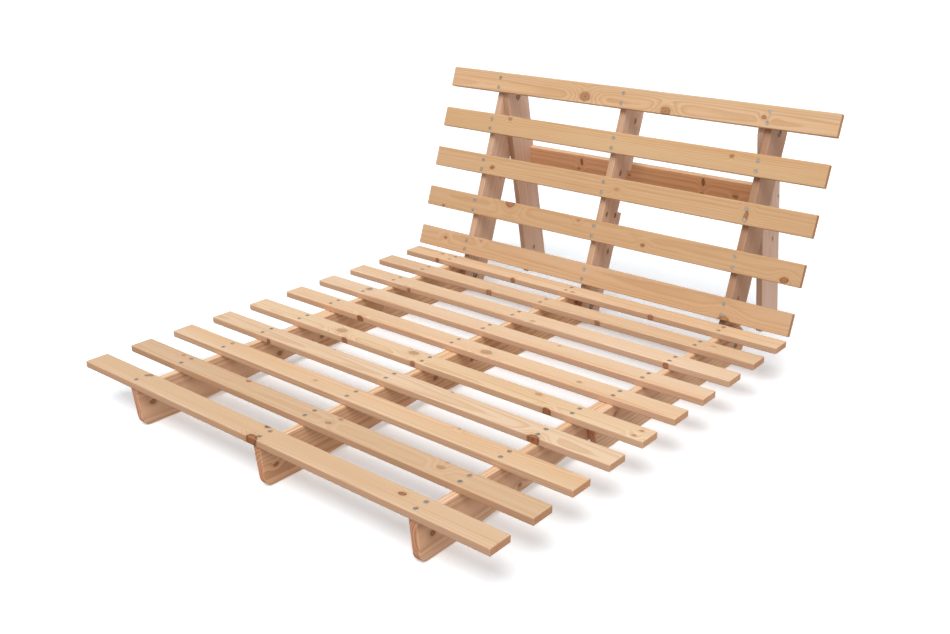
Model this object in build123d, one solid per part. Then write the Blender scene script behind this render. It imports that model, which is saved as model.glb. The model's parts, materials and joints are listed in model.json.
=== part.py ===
from build123d import *
from math import asin, atan2, cos, hypot, radians, sin
import os

# Slatted pine frame of a three-section futon sofa bed, in its lounger position: two seat
# sections lie flat on the floor and the back leans on a pair of hinged struts.
# Millimetres. X across the frame, +Y from the front to the back, +Z up, floor at Z = 0.
# Side outlines are drawn as (y, z), with y counted from the front edge of the first slat.

# ---- Driving dimensions -------------------------------------------------------------
WIDTH = 1300.0                  # length of every slat
SLAT_W, SLAT_T = 62.0, 18.0     # width and thickness of a slat
SLAT_EDGE_R = 3.0               # rounded long edges of a slat
SLAT_END_R = 2.0                # rounded edges of the slat ends
SEAT_Z = 125.0                  # top of the seat slats above the floor
SLATS = 5                       # slats in each section
SEAT_PITCH = 130.0
REAR_START = 657.0              # front edge of the first slat of the rear seat section
BACK_PITCH = 131.5
BACK_START = 62.4               # first back slat above the rear pivot, along the back

BOARD_T = 20.0                  # thickness of every bearer, strut and rail board
BEARER_D = SEAT_Z - SLAT_T      # depth of the bearers
BOARD_GAP = 0.5                 # play between boards that turn on each other
LINE_X = 456.5                  # outer lines of the front and back bearers
EDGE_R = 3.0                    # rounded board edges

FRONT_Y = 4.0                   # front ends of the front bearers, at the top
FRONT_RAKE = 12.0               # the front edge slopes back by this much at the floor
FRONT_FOOT_Y = 110.0            # rear end of their flat foot, where the taper starts
FRONT_CORNER_R = 26.0
FRONT_TAIL = (684.0, 75.0)      # centre of their round rear ends
FRONT_TAIL_R = 32.0
TAIL_RELIEF_Y = 640.0           # from here the top edge is lowered, under the sixth slat
TAIL_RELIEF = 0.4
FRONT_PIVOT = (637.0, 74.0)

REAR_NOSE_Y = 659.0             # centre of the round front ends of the rear bearers
REAR_NOSE_R = 74.0
REAR_PIVOT = (1287.0, BEARER_D / 2 + 0.5)

BACK_LEAN = 19.0                # degrees from vertical
STRUT_LEAN = 11.5               # degrees from vertical, foot to the rear
STRUT_PIVOT_V = 590.0           # strut pivot above the rear pivot, along the back
STRUT_D = 106.0
STRUT_TOP = 50.0                # top end of a strut above its pivot
STRUT_TOP_R = 25.0
STOP_GAP = 0.3                  # play between the strut's stop face and the top slat

RAIL_TOP = 185.0                # cross rail below the strut pivot, along the strut
RAIL_D = 107.0
NOTCH_V = (293.4, 421.4)        # notch for the folded rail, along the back
NOTCH_DEPTH = 25.0

SCREW_FROM_EDGE = (16.0, 46.0)  # screws from the front edge of a seat slat
BACK_SCREW_FROM_EDGE = (14.5, 44.5)
RAIL_SCREW_S = (210.0, 265.0)   # rail screws below the strut pivot
SCREW_R, SCREW_HEAD_R = 2.5, 5.0
SCREW_L = 50.0
HEAD_SINK = 0.6                 # screw heads below the wood surface
HEAD_RIM = 0.4
DRIVE_W, DRIVE_L, DRIVE_DEEP = 1.1, 5.4, 2.2

BOLT_R = 4.0
RUNNING = 0.05                  # radial play of bolts in bores and of screws in pilot holes
BOLT_AF = 13.0                  # across flats
BOLT_HEAD_H, NUT_H = 5.3, 6.5
WASHER_R, WASHER_HOLE_R, WASHER_T = 8.0, 4.2, 1.6
RECESS_R, RECESS_DEEP = 12.0, 8.5
MOVING_GAP = 0.3                # extra recess depth in a board that turns under a washer

# ---- Derived places -----------------------------------------------------------------
SIDES = {"left": -1, "middle": 0, "right": 1}
PAIR_STEP = BOARD_T + BOARD_GAP
HALF_D = BEARER_D / 2
FOLD = BACK_LEAN + STRUT_LEAN
STRUT_PIVOT = (REAR_PIVOT[0] + STRUT_PIVOT_V * sin(radians(BACK_LEAN)),
               REAR_PIVOT[1] + STRUT_PIVOT_V * cos(radians(BACK_LEAN)))


def foot_z(p):
    """Place of the floor along the strut, at a distance p behind the strut's centre line."""
    lean = radians(STRUT_LEAN)
    return -(STRUT_PIVOT[1] + p * sin(lean)) / cos(lean)


def strut_point_y(p, z):
    lean = radians(STRUT_LEAN)
    return STRUT_PIVOT[0] + p * cos(lean) - z * sin(lean)


LENGTH = strut_point_y(STRUT_D / 2, foot_z(STRUT_D / 2))
FRAME = Pos(0, -LENGTH / 2, 0)
BACK = FRAME * Pos(0, *REAR_PIVOT) * Rot(-BACK_LEAN, 0, 0)
STRUT = FRAME * Pos(0, *STRUT_PIVOT) * Rot(STRUT_LEAN, 0, 0)
OUT_OF_BACK = Rot(90, 0, 0)     # turns a screw's +Z to point out of a back slat's face


def bearer_x(side):
    """Centre of a front or back bearer."""
    return side * LINE_X


def rear_bearer_x(side):
    """Rear seat bearers lie outside the outer pair, and to the left of the middle one."""
    return bearer_x(side) + (side or -1) * PAIR_STEP


def strut_x(side):
    return bearer_x(side) - side * PAIR_STEP


# ---- Boards and slats ---------------------------------------------------------------
def closed(edges):
    return make_face(Curve() + edges)


def board(face, x):
    """Board with the given side outline, centred on x, with rounded edges."""
    solid = extrude(Plane.YZ.offset(x - BOARD_T / 2) * face, BOARD_T)
    rims = solid.faces().filter_by(Axis.X).edges()
    return fillet(rims, EDGE_R)


def front_bearer(side):
    """Tapered bearer: flat foot at the front, round tail under the sixth slat."""
    tail_y, tail_z = FRONT_TAIL
    run, rise = tail_y - FRONT_FOOT_Y, tail_z
    slope = atan2(rise, run) - asin(FRONT_TAIL_R / hypot(run, rise))
    tail_low = (tail_y + FRONT_TAIL_R * sin(slope), tail_z - FRONT_TAIL_R * cos(slope))
    tail_end = (tail_y + FRONT_TAIL_R, tail_z)
    tail_top = (tail_y, BEARER_D)
    toe = (FRONT_Y + FRONT_RAKE, 0)
    outline = closed([
        Line((FRONT_FOOT_Y, 0), tail_low),
        ThreePointArc(tail_low, tail_end, tail_top),
        Line(tail_top, (FRONT_Y, BEARER_D)),
        Line((FRONT_Y, BEARER_D), toe),
        Line(toe, (FRONT_FOOT_Y, 0)),
    ])
    outline = fillet(outline.vertices().sort_by_distance(toe)[0], FRONT_CORNER_R)
    relief = Pos(bearer_x(side), TAIL_RELIEF_Y + SLAT_W, BEARER_D) * Box(
        2 * BOARD_T, 2 * SLAT_W, 2 * TAIL_RELIEF)
    return FRAME * (board(outline, bearer_x(side)) - relief)


def rear_bearer(side):
    """Bearer with a large round nose at the front and a full round end at the rear pivot."""
    rise = BEARER_D - REAR_NOSE_R
    nose_top = (REAR_NOSE_Y - (REAR_NOSE_R ** 2 - rise ** 2) ** 0.5, BEARER_D)
    end_y = REAR_PIVOT[0]
    outline = closed([
        Line((REAR_NOSE_Y, 0), (end_y, 0)),
        ThreePointArc((end_y, 0), (end_y + HALF_D, HALF_D), (end_y, BEARER_D)),
        Line((end_y, BEARER_D), nose_top),
        ThreePointArc(nose_top, (REAR_NOSE_Y - REAR_NOSE_R, REAR_NOSE_R), (REAR_NOSE_Y, 0)),
    ])
    return FRAME * board(outline, rear_bearer_x(side))


def back_bearer(side):
    """Back bearer in the back's own frame: z up the back from the rear pivot."""
    top = STRUT_PIVOT_V + HALF_D
    diagonal = HALF_D * cos(radians(45))
    outline = closed([
        Line((-HALF_D, top), (-HALF_D, 0)),
        ThreePointArc((-HALF_D, 0), (0, -HALF_D), (HALF_D, 0)),
        Line((HALF_D, 0), (HALF_D, STRUT_PIVOT_V)),
        ThreePointArc((HALF_D, STRUT_PIVOT_V), (diagonal, STRUT_PIVOT_V + diagonal), (0, top)),
        Line((0, top), (-HALF_D, top)),
    ])
    bearer = board(outline, bearer_x(side))
    if side == 0:
        low, high = NOTCH_V
        notch = Box(2 * BOARD_T, 2 * NOTCH_DEPTH, high - low)
        bearer -= Pos(0, HALF_D, (low + high) / 2) * notch
    return BACK * bearer


def strut(side):
    """Strut in its own frame: z up the strut from its pivot, foot mitred to the floor."""
    half = STRUT_D / 2
    fold = radians(FOLD)
    stop = half + STOP_GAP / 2
    arc_end = (-stop * cos(fold), stop * sin(fold))
    run = (STRUT_TOP - arc_end[1]) / cos(fold)
    stop_top = (arc_end[0] + run * sin(fold), STRUT_TOP)
    shoulder = STRUT_TOP_R * (1 - cos(radians(45)))
    outline = closed([
        Line((-half, foot_z(-half)), (half, foot_z(half))),
        Line((half, foot_z(half)), (half, STRUT_TOP - STRUT_TOP_R)),
        ThreePointArc((half, STRUT_TOP - STRUT_TOP_R), (half - shoulder, STRUT_TOP - shoulder),
                      (half - STRUT_TOP_R, STRUT_TOP)),
        Line((half - STRUT_TOP_R, STRUT_TOP), stop_top),
        Line(stop_top, arc_end),
        ThreePointArc(arc_end, (-half * cos(fold / 2), half * sin(fold / 2)), (-half, 0)),
        Line((-half, 0), (-half, foot_z(-half))),
    ])
    return STRUT * board(outline, strut_x(side))


def cross_rail():
    """Rail between the struts' inner faces, flush with their rear edges."""
    length = 2 * (strut_x(1) - BOARD_T / 2)
    rail = Box(length, BOARD_T, RAIL_D)
    rail = fillet(rail.edges().filter_by(Axis.X), EDGE_R)
    return STRUT * Pos(0, (STRUT_D - BOARD_T) / 2, -RAIL_TOP - RAIL_D / 2) * rail


def slat():
    """Slat lying flat, centred on its own middle."""
    profile = Plane.YZ.offset(-WIDTH / 2) * RectangleRounded(SLAT_W, SLAT_T, SLAT_EDGE_R)
    solid = extrude(profile, WIDTH)
    ends = solid.faces().filter_by(Axis.X).edges()
    return fillet(ends, SLAT_END_R)


def seat_slat_y(index):
    """Front edge of seat slat 1 to 10."""
    if index <= SLATS:
        return (index - 1) * SEAT_PITCH
    return REAR_START + (index - SLATS - 1) * SEAT_PITCH


def back_slat_v(index):
    """Lower edge of back slat 1 (lowest) to 5."""
    return BACK_START + (index - 1) * BACK_PITCH


# ---- Fasteners, each with its +Z out of the surface that it goes into ------------------
def round_profile(points):
    """Solid turned about Z from (radius, z) points, closed along the axis."""
    return revolve(make_face(Polyline([(r, 0, z) for r, z in points], close=True)), Axis.Z)


def screw():
    """Countersunk cross-drive wood screw."""
    top = -HEAD_SINK
    neck = top - HEAD_RIM - (SCREW_HEAD_R - SCREW_R)
    tip = 2 * SCREW_R
    body = round_profile([
        (0, top), (SCREW_HEAD_R, top), (SCREW_HEAD_R, top - HEAD_RIM), (SCREW_R, neck),
        (SCREW_R, tip - SCREW_L), (0, -SCREW_L)])
    slot = Pos(0, 0, top) * Box(DRIVE_L, DRIVE_W, 2 * DRIVE_DEEP)
    return body - slot - Rot(0, 0, 90) * slot


def screw_hole():
    """Countersink and pilot hole for one screw."""
    head, pilot = SCREW_HEAD_R + RUNNING, SCREW_R + RUNNING
    rim = -HEAD_SINK - HEAD_RIM
    return round_profile([
        (0, 1), (head, 1), (head, rim), (pilot, rim - (head - pilot)),
        (pilot, -SCREW_L - 1), (0, -SCREW_L - 1)])


def hexagon(height):
    """Hexagonal prism on Z = 0 with its corners bevelled at the top."""
    corner = BOLT_AF / 2 / cos(radians(30))
    prism = extrude(RegularPolygon(corner, 6), height)
    bevel = (corner - BOLT_AF / 2) * 1.1
    blank = Cylinder(corner, height, align=(Align.CENTER, Align.CENTER, Align.MIN))
    return prism & chamfer(blank.edges().sort_by(Axis.Z)[-1], bevel)


def disc(radius, low, high):
    return Pos(0, 0, (low + high) / 2) * Cylinder(radius, high - low)


def bolt(grip):
    """Hexagon bolt, head underside at Z = 0, shank down through the grip, washer and nut."""
    end = -(grip + WASHER_T + NUT_H + 0.2)
    shank = disc(BOLT_R, end, 0)
    shank = chamfer(shank.edges().sort_by(Axis.Z)[0], 0.8)
    return hexagon(BOLT_HEAD_H) + shank


def washer():
    return disc(WASHER_R, 0, WASHER_T) - disc(WASHER_HOLE_R, -1, WASHER_T + 1)


def nut():
    return hexagon(NUT_H) - disc(BOLT_R + RUNNING, -1, NUT_H + 1)


# ---- Pivots -------------------------------------------------------------------------
class Pivot:
    """One bolt through two boards side by side, head on the +X side, all below flush."""

    def __init__(self, place, fixed_x, moving_x):
        self.place = place
        self.low = min(fixed_x, moving_x) - BOARD_T / 2
        self.high = max(fixed_x, moving_x) + BOARD_T / 2
        self.moving_high = moving_x > fixed_x

    def along_x(self, x, shape, turn=90):
        return self.place * Pos(x, 0, 0) * Rot(0, turn, 0) * shape

    def cutter(self):
        """Bore and the two socket recesses, the deeper one in the board that turns."""
        high_deep = RECESS_DEEP + (MOVING_GAP if self.moving_high else 0)
        low_deep = RECESS_DEEP + (0 if self.moving_high else MOVING_GAP)
        tool = disc(BOLT_R + RUNNING, self.low - 1, self.high + 1)
        tool += disc(RECESS_R, self.high - high_deep, self.high + 1)
        tool += disc(RECESS_R, self.low - 1, self.low + low_deep)
        return self.along_x(0, tool)

    def bolt(self):
        grip = self.high - self.low - 2 * RECESS_DEEP + WASHER_T
        return self.along_x(self.high - RECESS_DEEP + WASHER_T, bolt(grip))

    def washers(self):
        return [self.along_x(self.high - RECESS_DEEP, washer()),
                self.along_x(self.low + RECESS_DEEP, washer(), -90)]

    def nut(self):
        return self.along_x(self.low + RECESS_DEEP - WASHER_T, nut(), -90)


def pivot_row(place, sides, fixed_x, moving_x):
    return [Pivot(place, fixed_x(SIDES[s]), moving_x(SIDES[s])) for s in sides]


PIVOTS = {
    "front": pivot_row(FRAME * Pos(0, *FRONT_PIVOT), SIDES, rear_bearer_x, bearer_x),
    "rear": pivot_row(FRAME * Pos(0, *REAR_PIVOT), SIDES, rear_bearer_x, bearer_x),
    "strut": pivot_row(STRUT, ("left", "right"), bearer_x, strut_x),
}

# ---- Screws: the places of every screw, by the node that holds them --------------------
def seat_screw_places(indexes, x_of):
    places = []
    for index in indexes:
        for step in SCREW_FROM_EDGE:
            y = seat_slat_y(index) + step
            places += [FRAME * Pos(x_of(s), y, SEAT_Z) for s in SIDES.values()]
    return places


def back_screw_places():
    face = -HALF_D - SLAT_T
    places = []
    for index in range(1, SLATS + 1):
        for step in BACK_SCREW_FROM_EDGE:
            v = back_slat_v(index) + step
            places += [BACK * Pos(bearer_x(s), face, v) * OUT_OF_BACK for s in SIDES.values()]
    return places


def rail_screw_places():
    p = (STRUT_D - BOARD_T) / 2
    places = []
    for side in (-1, 1):
        outer = strut_x(side) + side * BOARD_T / 2
        places += [STRUT * Pos(outer, p, -s) * Rot(0, side * 90, 0) for s in RAIL_SCREW_S]
    return places


SCREWS = {
    "front_slat_screws": seat_screw_places(range(1, SLATS + 1), bearer_x),
    "rear_slat_screws": seat_screw_places(range(SLATS + 1, 2 * SLATS + 1), rear_bearer_x),
    "back_slat_screws": back_screw_places(),
    "rail_screws": rail_screw_places(),
}


def drilled(wood, screw_nodes=(), pivot_names=()):
    """The wood with every screw hole and pivot bore that reaches its bounding box."""
    box = wood.bounding_box()
    one_hole = screw_hole()
    tools = [place * one_hole for name in screw_nodes for place in SCREWS[name]]
    tools += [pivot.cutter() for name in pivot_names for pivot in PIVOTS[name]]
    near = [tool for tool in tools if box.overlaps(tool.bounding_box())]
    return wood - near if near else wood


# ---- Assembly -------------------------------------------------------------------------
def wooden_parts():
    parts = {}
    flat = slat()
    for index in range(1, 2 * SLATS + 1):
        screws = "front_slat_screws" if index <= SLATS else "rear_slat_screws"
        y = seat_slat_y(index) + SLAT_W / 2
        lying = FRAME * Pos(0, y, SEAT_Z - SLAT_T / 2) * flat
        parts[f"seat_slat_{index}"] = drilled(lying, [screws])
    for index in range(1, SLATS + 1):
        v = back_slat_v(index) + SLAT_W / 2
        standing = BACK * Pos(0, -HALF_D - SLAT_T / 2, v) * OUT_OF_BACK * flat
        parts[f"back_slat_{index}"] = drilled(standing, ["back_slat_screws"])
    for name, side in SIDES.items():
        parts[f"front_bearer_{name}"] = drilled(
            front_bearer(side), ["front_slat_screws"], ["front"])
        parts[f"rear_bearer_{name}"] = drilled(
            rear_bearer(side), ["rear_slat_screws"], ["front", "rear"])
        parts[f"back_bearer_{name}"] = drilled(
            back_bearer(side), ["back_slat_screws"], ["rear", "strut"])
    for name in ("left", "right"):
        parts[f"strut_{name}"] = drilled(strut(SIDES[name]), ["rail_screws"], ["strut"])
    parts["cross_rail"] = drilled(cross_rail(), ["rail_screws"])
    return parts


def metal_parts():
    parts = {}
    one_screw = screw()
    for node, places in SCREWS.items():
        parts[node] = Compound([place * one_screw for place in places])
    for name, pivots in PIVOTS.items():
        parts[f"{name}_pivot_bolts"] = Compound([pivot.bolt() for pivot in pivots])
        parts[f"{name}_pivot_washers"] = Compound([w for p in pivots for w in p.washers()])
        parts[f"{name}_pivot_nuts"] = Compound([pivot.nut() for pivot in pivots])
    return parts


os.makedirs("parts", exist_ok=True)
for node, shape in {**wooden_parts(), **metal_parts()}.items():
    export_step(shape, f"parts/{node}.step")
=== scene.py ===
"""Looks of the slatted pine futon frame: lacquered pine boards, plated screws and bolts."""
import json
import math
import random

import bpy
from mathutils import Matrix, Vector


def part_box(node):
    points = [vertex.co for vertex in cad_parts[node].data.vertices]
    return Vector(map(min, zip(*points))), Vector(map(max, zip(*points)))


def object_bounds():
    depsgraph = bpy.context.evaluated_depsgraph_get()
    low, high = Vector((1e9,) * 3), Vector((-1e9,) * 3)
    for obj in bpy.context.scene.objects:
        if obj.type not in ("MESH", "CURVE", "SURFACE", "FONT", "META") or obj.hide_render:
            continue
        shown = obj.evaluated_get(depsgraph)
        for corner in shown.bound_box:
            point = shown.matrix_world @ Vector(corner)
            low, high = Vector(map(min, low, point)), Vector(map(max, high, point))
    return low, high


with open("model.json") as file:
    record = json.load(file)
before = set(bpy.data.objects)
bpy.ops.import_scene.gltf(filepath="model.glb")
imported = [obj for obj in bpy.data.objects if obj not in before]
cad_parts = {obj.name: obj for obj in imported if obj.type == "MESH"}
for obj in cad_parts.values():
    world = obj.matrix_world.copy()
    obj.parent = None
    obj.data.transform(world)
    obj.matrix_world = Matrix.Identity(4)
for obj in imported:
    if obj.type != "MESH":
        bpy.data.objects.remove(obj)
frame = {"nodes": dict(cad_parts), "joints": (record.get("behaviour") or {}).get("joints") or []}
cad_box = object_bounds()

# ---- Camera and stage ------------------------------------------------------------------
CAMERA_PLACE = (1.652, -2.083, 1.200)
CAMERA_AZIMUTH = 39.57          # degrees
CAMERA_ELEVATION = 21.47
CAMERA_LENS = 40.18             # mm on a 36 mm sensor
FLOOR_SIZE = 60.0
KEY_FROM = (0.26, -0.60, 1.0)   # direction that the key light comes from
KEY_ANGLE = 34.0                # degrees, softness of its shadows
KEY_STRENGTH = 2.55
SKY_LIGHT = (0.42, 0.42, 0.42)  # light from above the horizon
GROUND_LIGHT = (0.38, 0.31, 0.26)   # warm light from below it, as off the floor and the wood
FILL_FROM = (1.0, -0.15, 0.25)  # weak light from the right
FILL_ANGLE = 60.0
FILL_STRENGTH = 0.50
FLOOR_GLOW = 0.27               # lift of the floor's shadows
FLOOR_COLOUR = (0.86, 0.895, 0.925)
DOME_RADIUS = 28.0

# ---- Wood -------------------------------------------------------------------------------
STRUT_LEAN = math.radians(11.5)
SLAT_RING, BOARD_RING = 0.0040, 0.0075   # width of a year's growth, m
ROUND_KNOT = 0.72               # a common knot is a little longer along the board
EDGE_TAPER = 0.55               # a knot on a slat's edge narrows towards the faces
HEAD_RADIUS = 0.0050            # screw heads, m
SCREW_ROWS = {"seat": (0.016, 0.046), "back": (0.0145, 0.0445)}   # screws across a slat, m
SEAT_HALF = 5                   # slats on each half of the seat

SLAT_PALE = (0.84, 0.635, 0.455)
SLAT_DARK = (0.60, 0.35, 0.165)
BACK_PALE = (0.76, 0.53, 0.325)
BACK_DARK = (0.50, 0.27, 0.115)
BEARER_PALE = (0.88, 0.57, 0.37)
BEARER_DARK = (0.44, 0.20, 0.10)
UPRIGHT_PALE = (0.90, 0.65, 0.52)
UPRIGHT_DARK = (0.52, 0.29, 0.20)
RAIL_PALE = (0.82, 0.46, 0.27)
RAIL_DARK = (0.50, 0.23, 0.11)
KNOT_HEART = (0.31, 0.12, 0.045)
KNOT_RIM = (0.075, 0.026, 0.012)
HALO = (0.60, 0.30, 0.12)
# Painted shade round the screw heads on the slats:
SCREW_HEAD_SHADE = (0.10, 0.062, 0.040)

# What each feature multiplies the wood's colour by.
HEARTWOOD_TINT = (1.0, 0.80, 0.66)
SHADE_TINT = (0.93, 0.87, 0.78)
STREAK_TINT = (0.92, 0.82, 0.68)
FIBRE_TINT = (0.90, 0.84, 0.77)
END_TINT = (0.90, 0.74, 0.68)

SCREW_COLOUR, SCREW_ROUGHNESS = (0.86, 0.85, 0.80), 0.42
BOLT_COLOUR, BOLT_ROUGHNESS = (0.50, 0.50, 0.50), 0.34

# Each kind of board: its colours, what its narrow edges are multiplied by as painted light
# and shade (darker on slats and uprights, paler on bearers and the rail), the strength and
# width of its rings, and how far across the board its pith may lie.
WOODS = {
    "seat_slat": dict(pale=SLAT_PALE, dark=SLAT_DARK, edge=(0.84, 0.75, 0.74), contrast=0.55,
                      ring=SLAT_RING, pith=(-0.02, 0.08)),
    "back_slat": dict(pale=BACK_PALE, dark=BACK_DARK, edge=(0.95, 0.90, 0.88), contrast=0.50,
                      ring=SLAT_RING, pith=(-0.02, 0.08)),
    "cross_rail": dict(pale=RAIL_PALE, dark=RAIL_DARK, edge=(1.10, 1.28, 1.45), contrast=0.35,
                       ring=BOARD_RING, pith=(0.03, 0.08)),
    "bearer": dict(pale=BEARER_PALE, dark=BEARER_DARK, edge=(1.05, 1.18, 1.25), contrast=0.55,
                   ring=BOARD_RING, pith=(0.03, 0.08)),
    "upright": dict(pale=UPRIGHT_PALE, dark=UPRIGHT_DARK, edge=(0.74, 0.70, 0.63), contrast=0.28,
                    ring=BOARD_RING, pith=(-0.03, 0.03)),
}

# Boards that are darker or paler than their neighbours.
TONES = {
    "seat_slat_1": 0.92, "seat_slat_2": 0.82, "seat_slat_9": 0.92,
    "back_slat_1": 0.86, "back_slat_2": 0.82, "back_slat_3": 0.86, "back_slat_4": 0.94,
    "back_bearer_right": 0.68, "back_bearer_middle": 0.96, "cross_rail": 1.15,
}

# Knots as (along the board, across it, radius, darkness), all in mm; slats count from their
# middle and front or lower edge, seat boards from the front and the floor, back boards and
# struts from their pivot, and the rail from its middle and its top edge. A fifth number, over
# one, makes a spike knot that lies across the board.
KNOTS = {
    "seat_slat_1": [(-450, 55, 5, 0.7), (-10, 4, 12, 1.0), (-20, 58, 7, 1.0), (400, 41, 6, 1.0)],
    "seat_slat_2": [(-490, 50, 4, 0.6), (-240, 55, 5, 0.8), (68, 26, 6, 0.5), (78, 55, 4, 0.7),
                    (390, 36, 8, 0.3), (388, 60, 5, 0.5)],
    "seat_slat_3": [(310, 59, 5, 0.6), (-120, 30, 5, 0.2)],
    "seat_slat_4": [(455, 1, 11, 1.0), (178, 60, 5, 0.6), (-415, -3, 5, 0.9), (-222, 60, 5, 0.7)],
    "seat_slat_5": [(340, 50, 7, 0.3), (397, -2, 8, 1.0), (620, 16, 5, 0.5), (622, 44, 4, 0.6),
                    (-302, 32, 12, 0.35), (-262, -2, 7, 0.8), (-50, 42, 11, 0.35), (-18, 1, 6, 0.6)],
    "seat_slat_6": [(-342, 0, 7, 1.0), (90, 27, 12, 0.4), (375, 29, 5, 0.4)],
    "seat_slat_7": [(-474, 42, 9, 0.4), (210, 50, 4, 0.3)],
    "seat_slat_8": [(-400, -3, 5, 0.7), (52, 15, 6, 0.25), (476, -2, 6, 0.8)],
    "seat_slat_9": [(-197, 2, 7, 0.6), (186, 0, 6, 0.6), (520, 40, 5, 0.3)],
    "seat_slat_10": [(-530, 45, 5, 0.6), (-515, 0, 5, 0.8), (-207, 3, 6, 0.7), (4, 16, 5, 0.5),
                     (277, 2, 6, 0.6)],
    "back_slat_5": [(-129, 23, 13, 0.6), (148, 12, 11, 0.7), (444, 31, 5, 0.7), (-173, 57, 4, 0.5)],
    "back_slat_4": [(-385, 55, 5, 0.6), (379, 48, 5, 0.7)],
    "back_slat_3": [(-415, 28, 6, 0.9), (48, 33, 6, 0.2), (459, 27, 15, 0.85, 2.6)],
    "back_slat_2": [(-580, 8, 4, 0.9), (-316, 60, 13, 0.8), (-58, 54, 5, 0.3), (173, 22, 5, 0.9),
                    (605, 14, 8, 0.9)],
    "back_slat_1": [(-544, 39, 5, 0.8), (-398, 56, 5, 0.8), (465, 4, 12, 0.8)],
    "front_bearer_left": [(48, 60, 6, 0.8), (451, 54, 6, 0.7), (606, 54, 5, 0.8)],
    "front_bearer_middle": [(47, 49, 5, 0.8), (575, 70, 6, 0.8)],
    "front_bearer_right": [(53, 60, 6, 0.9), (240, 70, 5, 0.8), (330, 40, 5, 0.6)],
    "rear_bearer_left": [(900, 60, 6, 0.7)],
    "rear_bearer_middle": [(746, 57, 5, 1.0), (1234, 81, 6, 0.7)],
    "rear_bearer_right": [(671, 84, 6, 0.8), (1000, 30, 7, 0.7)],
    "back_bearer_left": [(330, 20, 5, 0.6)],
    "back_bearer_middle": [(567, 10, 6, 0.9), (407, -8, 6, 0.9), (279, -33, 5, 1.0),
                           (282, 16, 5, 1.0), (171, 21, 6, 0.7)],
    "back_bearer_right": [(125, -12, 6, 0.9)],
    "strut_left": [(540, -4, 5, 0.8)],
    "strut_right": [(330, 12, 5, 0.5)],
    "cross_rail": [(-222, 20, 11, 1.0, 2.4), (-236, 45, 4, 0.6), (-45, 36, 4, 0.5),
                   (213, 16, 11, 1.0, 2.2), (207, 55, 5, 0.6), (317, 45, 6, 0.6)],
}


class Graph:
    """Adds shader nodes to one tree. A value may be a socket, a number or a tuple."""

    def __init__(self, tree):
        self.tree = tree

    def put(self, socket, value):
        if isinstance(value, bpy.types.NodeSocket):
            self.tree.links.new(value, socket)
        elif isinstance(value, tuple) and socket.type == "RGBA":
            socket.default_value = (*value[:3], 1.0)
        else:
            socket.default_value = value

    def add(self, kind, inputs=None, **settings):
        node = self.tree.nodes.new(kind)
        for name, value in settings.items():
            setattr(node, name, value)
        for key, value in (inputs or {}).items():
            self.put(node.inputs[key], value)
        return node

    def math(self, operation, a, b=0.0, c=0.0):
        return self.add("ShaderNodeMath", {0: a, 1: b, 2: c}, operation=operation).outputs[0]

    def vector(self, operation, a, b=(0.0, 0.0, 0.0)):
        node = self.add("ShaderNodeVectorMath", {0: a, 1: b}, operation=operation)
        return node.outputs["Value" if operation in ("DOT_PRODUCT", "LENGTH") else "Vector"]

    def step(self, value, low, high, start=0.0, end=1.0):
        """Smooth step from start to end as the value goes from low to high."""
        return self.add("ShaderNodeMapRange", {
            "Value": value, "From Min": low, "From Max": high, "To Min": start, "To Max": end,
        }, interpolation_type="SMOOTHSTEP").outputs[0]

    def noise(self, place, scale, detail=2.0, roughness=0.5):
        """Noise from 0 to 1, with its own scale along each axis."""
        stretched = self.vector("MULTIPLY", place, scale)
        return self.add("ShaderNodeTexNoise", {
            "Vector": stretched, "Scale": 1.0, "Detail": detail, "Roughness": roughness,
        }).outputs[0]

    def mix(self, factor, a, b, blend="MIX"):
        return self.add("ShaderNodeMix", {0: factor, 6: a, 7: b},
                        data_type="RGBA", blend_type=blend).outputs[2]

    def split(self, vector):
        return self.add("ShaderNodeSeparateXYZ", {0: vector}).outputs

    def join(self, x, y, z):
        return self.add("ShaderNodeCombineXYZ", {0: x, 1: y, 2: z}).outputs[0]


def group(name, takes, gives, fill):
    """Node group whose body is written by fill(graph, inputs) -> {output name: socket}."""
    tree = bpy.data.node_groups.new(name, "ShaderNodeTree")
    for label, kind in takes.items():
        tree.interface.new_socket(label, in_out="INPUT", socket_type="NodeSocket" + kind)
    for label in gives:
        tree.interface.new_socket(label, in_out="OUTPUT", socket_type="NodeSocketFloat")
    graph = Graph(tree)
    inputs = graph.add("NodeGroupInput").outputs
    results = fill(graph, inputs)
    graph.add("NodeGroupOutput", results)
    return tree


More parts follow.
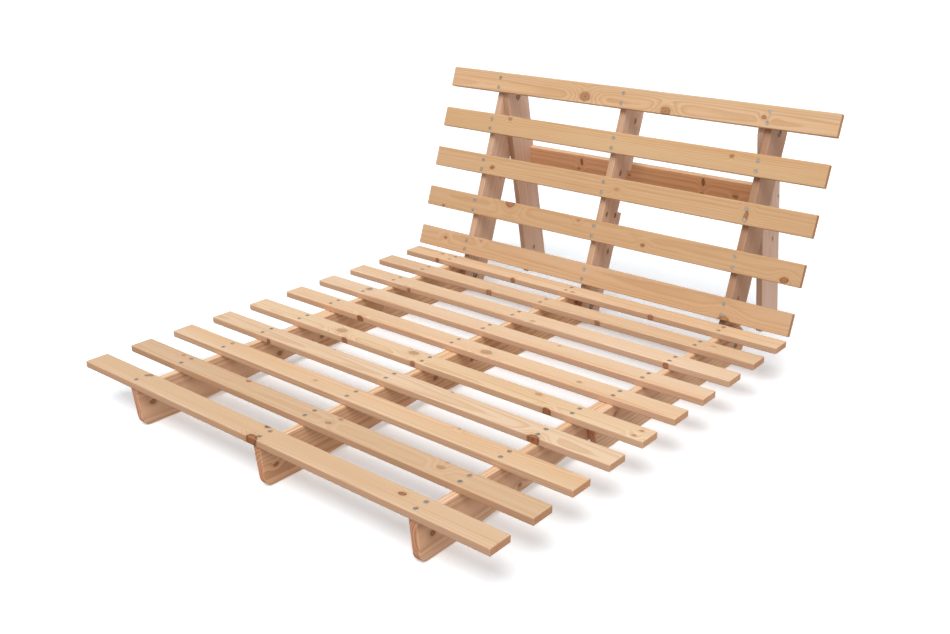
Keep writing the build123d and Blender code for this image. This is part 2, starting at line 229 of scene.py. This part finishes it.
def growth_rings(graph, inputs):
    """Rings round a pith beside the board, and the fibres along it."""
    place = graph.vector("ADD", inputs["Place"], graph.join(inputs["Seed"], 0.0, 0.0))
    along, across, through = graph.split(inputs["Place"])
    pith = graph.split(inputs["Pith"])
    wander = graph.math("SUBTRACT", graph.noise(place, (1.4, 9.0, 9.0)), 0.5)
    ripple = graph.math("SUBTRACT", graph.noise(place, (9.0, 60.0, 60.0)), 0.5)
    u = graph.math("SUBTRACT", across, pith[0])
    u = graph.math("MULTIPLY_ADD", wander, 0.020, u)
    w = graph.math("SUBTRACT", through, pith[1])
    w = graph.math("MULTIPLY_ADD", ripple, 0.0024, w)
    w = graph.math("MULTIPLY_ADD", along, pith[2], w)
    radius = graph.vector("LENGTH", graph.join(u, w, 0.0))
    radius = graph.math("ADD", radius, inputs["Bulge"])
    pace = graph.math("MULTIPLY", graph.noise(graph.join(radius, inputs["Seed"], 0.0),
                                              (55.0, 1.0, 1.0)), 2.0)
    phase = graph.math("ADD", graph.math("DIVIDE", radius, inputs["Spacing"]), pace)
    part = graph.math("FRACT", phase)
    rise = graph.step(part, 0.25, 0.88)
    fall = graph.step(part, 0.90, 1.0, 1.0, 0.0)
    year = graph.noise(graph.join(graph.math("FLOOR", phase), 0.0, 0.0), (0.73, 1.0, 1.0))
    late = graph.math("MULTIPLY", graph.math("MULTIPLY", rise, fall),
                      graph.step(year, 0.25, 0.7, 0.45, 1.0))
    return {
        "Late": late,
        "Fibre": graph.noise(place, (9.0, 420.0, 420.0), 3.0, 0.6),
        "Streak": graph.noise(place, (1.3, 75.0, 75.0), 2.0),
        "Tone": graph.noise(place, (1.1, 7.0, 7.0), 2.0),
        "Radius": radius,
    }


def knot_field(graph, inputs):
    """One knot: its heart, its dark rim, the warm wood round it and the swerve of the grain."""
    wobble = graph.math("SUBTRACT", graph.noise(inputs["Place"], (90.0, 130.0, 60.0)), 0.5)
    along, across, through = graph.split(graph.vector("SUBTRACT", inputs["Place"],
                                                      inputs["Centre"]))
    across = graph.math("MULTIPLY_ADD", through, 0.25, across)
    size = graph.vector("LENGTH", graph.join(graph.math("MULTIPLY", along, inputs["Squeeze"]),
                                             across,
                                             graph.math("MULTIPLY", through, inputs["Taper"])))
    ratio = graph.math("DIVIDE", size, inputs["Radius"])
    ratio = graph.math("MULTIPLY_ADD", wobble, 0.55, ratio)
    heart = graph.step(ratio, 0.78, 1.0, 1.0, 0.0)
    rim = graph.step(graph.math("ABSOLUTE", graph.math("SUBTRACT", ratio, 0.95)),
                     0.0, 0.33, 1.0, 0.0)
    halo = graph.step(ratio, 0.8, 2.7, 1.0, 0.0)
    dark = inputs["Darkness"]
    broken = graph.step(graph.noise(inputs["Place"], (160.0, 160.0, 40.0)),
                        0.36, 0.60, 0.5, 1.0)
    rim = graph.math("MULTIPLY", rim, broken)
    core = graph.step(ratio, 0.05, 0.32, 0.75, 0.0)
    rim = graph.math("MAXIMUM", rim, core)
    lobe = graph.math("EXPONENT", graph.math("MULTIPLY",
                                             graph.math("MULTIPLY", ratio, ratio), -0.16))
    swell = graph.math("MULTIPLY", inputs["Radius"], 1.25)
    return {
        "Heart": heart,
        "Rim": graph.math("MULTIPLY", rim, dark),
        "Halo": graph.math("MULTIPLY", halo, graph.math("MULTIPLY_ADD", dark, 0.5, 0.25)),
        "Depth": graph.math("MULTIPLY", heart, dark),
        "Bulge": graph.math("MULTIPLY", lobe, swell),
    }


RINGS = group("growth rings", {"Place": "Vector", "Pith": "Vector", "Seed": "Float",
                               "Bulge": "Float", "Spacing": "Float"},
              ("Late", "Fibre", "Streak", "Tone", "Radius"), growth_rings)
KNOT = group("knot", {"Place": "Vector", "Centre": "Vector", "Radius": "Float",
                      "Darkness": "Float", "Squeeze": "Float", "Taper": "Float"},
             ("Heart", "Rim", "Halo", "Depth", "Bulge"), knot_field)


def add_knots(graph, place, knots, slat):
    """Sums of the fields of all knots of a board."""
    total = {name: 0.0 for name in ("Heart", "Rim", "Halo", "Depth", "Bulge")}
    for along, across, radius, dark, *squeeze in knots:
        node = graph.add("ShaderNodeGroup", node_tree=KNOT)
        graph.put(node.inputs["Place"], place)
        node.inputs["Centre"].default_value = (along / 1000, across / 1000, 0.0)
        node.inputs["Radius"].default_value = radius / 1000
        node.inputs["Darkness"].default_value = dark
        node.inputs["Squeeze"].default_value = squeeze[0] if squeeze else ROUND_KNOT
        at_edge = slat and not 6 < across < 56
        node.inputs["Taper"].default_value = EDGE_TAPER if at_edge else 0.0
        for name in total:
            operation = "ADD" if name == "Bulge" else "MAXIMUM"
            total[name] = graph.math(operation, total[name], node.outputs[name])
    return total


def board_place(graph, origin, along, across):
    """Coordinates along, across and through a board, from its corner or pivot."""
    coords = graph.add("ShaderNodeTexCoord").outputs["Object"]
    local = graph.vector("SUBTRACT", coords, tuple(origin))
    through = along.cross(across)
    return graph.join(*(graph.vector("DOT_PRODUCT", local, tuple(axis))
                        for axis in (along, across, through)))


def end_grain(graph, along):
    """1 on faces cut across the grain."""
    normal = graph.add("ShaderNodeTexCoord").outputs["Normal"]
    facing = graph.math("ABSOLUTE", graph.vector("DOT_PRODUCT", normal, tuple(along)))
    return graph.step(facing, 0.55, 0.85)


def nearest(graph, value, stops):
    """Distance from a value to the nearest of some stops."""
    gaps = [graph.math("ABSOLUTE", graph.math("SUBTRACT", value, stop)) for stop in stops]
    while len(gaps) > 1:
        gaps.append(graph.math("MINIMUM", gaps.pop(), gaps.pop()))
    return gaps[0]


def bearers_under(slat):
    """The three boards that a slat is screwed to."""
    kind, number = slat.split("_slat_")
    if kind == "seat":
        kind = "front" if int(number) <= SEAT_HALF else "rear"
    return [f"{kind}_bearer_{side}" for side in ("left", "middle", "right")]


def painted_screw_shade(graph, slat, place):
    """Painted shade: dark rings round the screw heads on a slat, where the gap round each head lies in
    shadow.
    """
    along, across, _ = graph.split(place)
    middles = [sum(corner.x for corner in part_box(node)) / 2 for node in bearers_under(slat)]
    gap_along = nearest(graph, along, middles)
    gap_across = nearest(graph, across, SCREW_ROWS[slat.split("_")[0]])
    distance = graph.vector("LENGTH", graph.join(gap_along, gap_across, 0.0))
    return graph.step(distance, HEAD_RADIUS, HEAD_RADIUS + 0.0014, 0.75, 0.0)


def board_edge(graph, across):
    """1 on the narrow faces along a board."""
    normal = graph.add("ShaderNodeTexCoord").outputs["Normal"]
    facing = graph.math("ABSOLUTE", graph.vector("DOT_PRODUCT", normal, tuple(across)))
    return graph.step(facing, 0.5, 0.85)


def pine(name, spread, kind):
    """Lacquered pine for one board; spread is its (origin, along, across)."""
    pale, dark = kind["pale"], kind["dark"]
    dice = random.Random(name)
    material = bpy.data.materials.new("pine_" + name)
    material.use_nodes = True
    graph = Graph(material.node_tree)
    shader = material.node_tree.nodes["Principled BSDF"]
    origin, along, across = spread
    place = board_place(graph, origin, along, across)
    knots = add_knots(graph, place, KNOTS.get(name, []), "_slat_" in name)
    pith = (dice.uniform(*kind["pith"]), dice.choice((-1, 1)) * dice.uniform(0.03, 0.08),
            dice.uniform(-0.014, 0.014))
    rings = graph.add("ShaderNodeGroup", {
        "Place": place, "Pith": pith, "Seed": dice.uniform(0.0, 40.0),
        "Bulge": knots["Bulge"], "Spacing": kind["ring"]}, node_tree=RINGS).outputs
    tint = dice.uniform(0.97, 1.02) * TONES.get(name, 1.0)
    warmth = dice.uniform(0.95, 1.04)
    pale = (pale[0] * tint, pale[1] * tint * tint ** 0.4,     # a darker board is redder
            pale[2] * tint * tint ** 0.7 * warmth)

    cut = end_grain(graph, along)
    late = graph.math("MULTIPLY", rings["Late"], graph.math("MULTIPLY_ADD", cut, 0.3, kind["contrast"]))
    colour = graph.mix(late, pale, dark)
    reddish = graph.step(rings["Radius"], 0.030, 0.055, 0.28, 0.0)
    colour = graph.mix(reddish, colour, HEARTWOOD_TINT, "MULTIPLY")
    shade = graph.step(rings["Tone"], 0.30, 0.75)
    colour = graph.mix(shade, colour, graph.mix(1.0, colour, SHADE_TINT, "MULTIPLY"))
    streak = graph.step(rings["Streak"], 0.52, 0.78, 0.0, 0.55)
    colour = graph.mix(streak, colour, graph.mix(1.0, colour, STREAK_TINT, "MULTIPLY"))
    fibre = graph.step(rings["Fibre"], 0.35, 0.75, 0.0, 0.5)
    colour = graph.mix(fibre, colour, graph.mix(1.0, colour, FIBRE_TINT, "MULTIPLY"))
    colour = graph.mix(graph.math("MULTIPLY", knots["Halo"], 0.75), colour,
                       graph.mix(0.5, colour, HALO))
    heart = graph.mix(rings["Fibre"], KNOT_HEART, tuple(c * 1.5 for c in KNOT_HEART))
    weight = graph.math("MULTIPLY_ADD", knots["Depth"], 0.65,
                        graph.math("MULTIPLY", knots["Heart"], 0.30))
    colour = graph.mix(weight, colour, heart)
    colour = graph.mix(graph.math("MULTIPLY", knots["Rim"], 0.85), colour, KNOT_RIM)
    # Painted light and shade: the narrow faces of each board are made darker or paler for how the light
    # falls on them.
    edge = board_edge(graph, across)
    colour = graph.mix(edge, colour, graph.mix(1.0, colour, kind["edge"], "MULTIPLY"))
    colour = graph.mix(cut, colour, graph.mix(1.0, colour, END_TINT, "MULTIPLY"))
    # Painted shade: dark rings round the screw heads.
    if "_slat_" in name:
        colour = graph.mix(painted_screw_shade(graph, name, place), colour, SCREW_HEAD_SHADE)
    graph.put(shader.inputs["Base Color"], colour)

    gloss = graph.math("MULTIPLY_ADD", rings["Fibre"], 0.16, 0.36)
    gloss = graph.math("MULTIPLY_ADD", cut, 0.22, gloss)
    graph.put(shader.inputs["Roughness"], gloss)
    height = graph.math("MULTIPLY_ADD", late, -0.6, rings["Fibre"])
    height = graph.math("MULTIPLY_ADD", knots["Rim"], -0.8, height)
    bump = graph.add("ShaderNodeBump", {"Height": height, "Strength": 0.22, "Distance": 0.0006})
    graph.put(shader.inputs["Normal"], bump.outputs["Normal"])
    shader.inputs["Specular IOR Level"].default_value = 0.38
    return material


# ---- Where each board's grain runs -------------------------------------------------------
X, Y, Z = Vector((1, 0, 0)), Vector((0, 1, 0)), Vector((0, 0, 1))


def joint_place(name):
    return Vector(next(j["pos_m"] for j in frame["joints"] if j["name"] == name))


REAR_PIVOT, STRUT_PIVOT = joint_place("back_recline"), joint_place("strut_fold")
UP_BACK = (STRUT_PIVOT - REAR_PIVOT).normalized()
BEHIND_BACK = X.cross(-UP_BACK)
DOWN_STRUT = Vector((0, math.sin(STRUT_LEAN), -math.cos(STRUT_LEAN)))
BEHIND_STRUT = Vector((0, math.cos(STRUT_LEAN), math.sin(STRUT_LEAN)))
FRONT = Vector((0, cad_box[0].y, 0))


def spread_of(node):
    """Origin, grain direction and across direction of a board."""
    low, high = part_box(node)
    middle = (low + high) / 2
    if node.startswith("seat_slat"):
        return Vector((0, low.y, middle.z)), X, Y
    if node.startswith("back_slat"):
        lower = middle - UP_BACK * (high.z - low.z) / 2
        return Vector((0, lower.y, lower.z)), X, UP_BACK
    if node.startswith(("front_bearer", "rear_bearer")):
        return Vector((middle.x, FRONT.y, 0)), Y, Z
    if node.startswith("back_bearer"):
        return Vector((middle.x, REAR_PIVOT.y, REAR_PIVOT.z)), UP_BACK, BEHIND_BACK
    if node == "cross_rail":
        top = middle - DOWN_STRUT * (high.z - low.z) / 2
        return Vector((0, top.y, top.z)), X, DOWN_STRUT
    return Vector((middle.x, STRUT_PIVOT.y, STRUT_PIVOT.z)), DOWN_STRUT, BEHIND_STRUT


def wood_kind(node):
    if node.startswith(("front_bearer", "rear_bearer")):
        return WOODS["bearer"]
    if node.startswith("back_bearer") or node.startswith("strut"):
        return WOODS["upright"]
    return WOODS[node.rstrip("0123456789_")]


# ---- Metal --------------------------------------------------------------------------------
def plated(name, colour, roughness):
    """Zinc-plated steel with a faint mottle."""
    material = bpy.data.materials.new(name)
    material.use_nodes = True
    graph = Graph(material.node_tree)
    shader = material.node_tree.nodes["Principled BSDF"]
    coords = graph.add("ShaderNodeTexCoord").outputs["Object"]
    mottle = graph.noise(coords, (330.0, 330.0, 330.0), 3.0, 0.6)
    scratches = graph.noise(coords, (2500.0, 300.0, 2500.0), 2.0)
    dull = tuple(c * 0.45 for c in colour)
    graph.put(shader.inputs["Base Color"],
              graph.mix(graph.step(mottle, 0.35, 0.7), colour, dull))
    graph.put(shader.inputs["Roughness"],
              graph.math("MULTIPLY_ADD", scratches, 0.25, roughness))
    bump = graph.add("ShaderNodeBump", {"Height": scratches, "Strength": 0.15,
                                        "Distance": 0.0001})
    graph.put(shader.inputs["Normal"], bump.outputs["Normal"])
    shader.inputs["Metallic"].default_value = 1.0
    return material


def dress(node, material):
    slots = frame["nodes"][node].data.materials
    slots.clear()
    slots.append(material)


def dress_all():
    screw = plated("screw_zinc", SCREW_COLOUR, SCREW_ROUGHNESS)
    bolt = plated("bolt_zinc", BOLT_COLOUR, BOLT_ROUGHNESS)
    for node in frame["nodes"]:
        if node.endswith("_screws"):
            dress(node, screw)
        elif "_pivot_" in node:
            dress(node, bolt)
        else:
            dress(node, pine(node, spread_of(node), wood_kind(node)))


# ---- Stage, light and camera ----------------------------------------------------------------
def make_floor():
    bpy.ops.mesh.primitive_plane_add(size=FLOOR_SIZE, location=(0, 0, -0.0002))
    floor = bpy.context.object
    floor.name = "floor"
    material = bpy.data.materials.new("floor")
    material.use_nodes = True
    shader = material.node_tree.nodes["Principled BSDF"]
    shader.inputs["Base Color"].default_value = (*FLOOR_COLOUR, 1)
    shader.inputs["Roughness"].default_value = 0.9
    shader.inputs["Specular IOR Level"].default_value = 0.1
    shader.inputs["Emission Color"].default_value = (1, 1, 1, 1)
    shader.inputs["Emission Strength"].default_value = FLOOR_GLOW
    floor.data.materials.append(material)
    only_for_the_camera(floor)


def make_dome():
    """White surround beyond the floor, so that low views have no horizon."""
    bpy.ops.mesh.primitive_uv_sphere_add(radius=DOME_RADIUS, location=(0, 0, 0))
    dome = bpy.context.object
    dome.name = "dome"
    material = bpy.data.materials.new("dome")
    material.use_nodes = True
    shader = material.node_tree.nodes["Principled BSDF"]
    shader.inputs["Base Color"].default_value = (0, 0, 0, 1)
    shader.inputs["Emission Color"].default_value = (1, 1, 1, 1)
    shader.inputs["Emission Strength"].default_value = 1.0
    dome.data.materials.append(material)
    dome.visible_shadow = False
    only_for_the_camera(dome)


def only_for_the_camera(obj):
    """The object neither lights the wood nor shows in its gloss."""
    obj.visible_diffuse = False
    obj.visible_glossy = False
    obj.visible_transmission = False


def make_light():
    world = bpy.data.worlds.new("studio")
    bpy.context.scene.world = world
    world.use_nodes = True
    graph = Graph(world.node_tree)
    direction = graph.add("ShaderNodeTexCoord").outputs["Generated"]
    height = graph.split(direction)[2]
    background = world.node_tree.nodes["Background"]
    graph.put(background.inputs["Color"],
              graph.mix(graph.step(height, -0.35, 0.05), GROUND_LIGHT, SKY_LIGHT))
    make_sun("key", KEY_FROM, KEY_ANGLE, KEY_STRENGTH)
    make_sun("fill", FILL_FROM, FILL_ANGLE, FILL_STRENGTH)


def make_sun(name, from_direction, angle, strength):
    light = bpy.data.lights.new(name, "SUN")
    light.energy = strength
    light.angle = math.radians(angle)
    lamp = bpy.data.objects.new(name, light)
    lamp.rotation_mode = "QUATERNION"
    lamp.rotation_quaternion = Vector(from_direction).to_track_quat("Z", "Y")
    bpy.context.scene.collection.objects.link(lamp)


def make_camera():
    data = bpy.data.cameras.new("camera")
    data.lens = CAMERA_LENS
    camera = bpy.data.objects.new("camera", data)
    camera.location = CAMERA_PLACE
    camera.rotation_euler = (math.radians(90 - CAMERA_ELEVATION), 0,
                             math.radians(CAMERA_AZIMUTH))
    bpy.context.scene.collection.objects.link(camera)
    bpy.context.scene.camera = camera
    bpy.context.scene.view_settings.view_transform = "Standard"


make_camera()
make_floor()
make_dome()
make_light()
dress_all()
